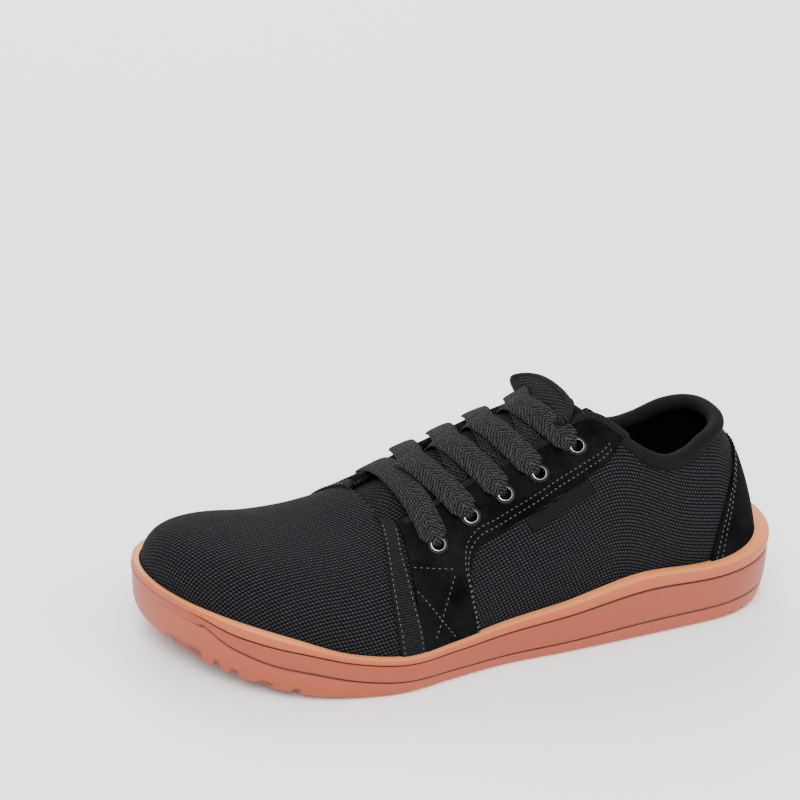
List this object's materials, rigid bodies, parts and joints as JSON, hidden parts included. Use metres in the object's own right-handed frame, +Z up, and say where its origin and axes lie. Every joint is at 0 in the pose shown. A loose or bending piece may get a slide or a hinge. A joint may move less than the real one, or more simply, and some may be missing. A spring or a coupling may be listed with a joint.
{
  "type": "orthopedic shoe",
  "caption": "Low lace-up walking shoe for the left foot, with a knitted upper, suede panels, metal eyelets, flat laces and a wide gum cup sole with hexagon lugs.",
  "frame": {"origin": "on the floor under the middle of the shoe's bounding box", "axes": "+X from the heel to the toe, +Y to the outer side of the left foot, +Z up"},
  "size_m": [0.283, 0.1136, 0.1019],
  "materials": {
    "gum_rubber": "moulded gum rubber, matt",
    "insole_foam": "textile covered foam",
    "knit_mesh": "coarse black knit mesh",
    "suede": "black suede with napped surface",
    "ribbed_tape": "ribbed grosgrain tape",
    "woven_label": "plain woven label, bare",
    "collar_lining": "smooth padded collar fabric",
    "eyelet_metal": "bright rolled metal",
    "lace_weave": "flat woven lace"
  },
  "bodies": {
    "root": {"outsole": "gum_rubber", "insole": "insole_foam", "upper": "knit_mesh", "eyestay_outer": "suede", "eyestay_inner": "suede", "vamp_tape_outer": "ribbed_tape", "vamp_tape_inner": "ribbed_tape", "heel_counter": "suede", "side_label": "woven_label", "collar_roll": "collar_lining", "tongue": "knit_mesh", "eyelet_outer_1": "eyelet_metal", "eyelet_outer_2": "eyelet_metal", "eyelet_outer_3": "eyelet_metal", "eyelet_outer_4": "eyelet_metal", "eyelet_outer_5": "eyelet_metal", "eyelet_inner_1": "eyelet_metal", "eyelet_inner_2": "eyelet_metal", "eyelet_inner_3": "eyelet_metal", "eyelet_inner_4": "eyelet_metal", "eyelet_inner_5": "eyelet_metal", "lace_crossing_1": "lace_weave", "lace_crossing_2": "lace_weave", "lace_crossing_3": "lace_weave", "lace_crossing_4": "lace_weave"}
  },
  "joints": []
}
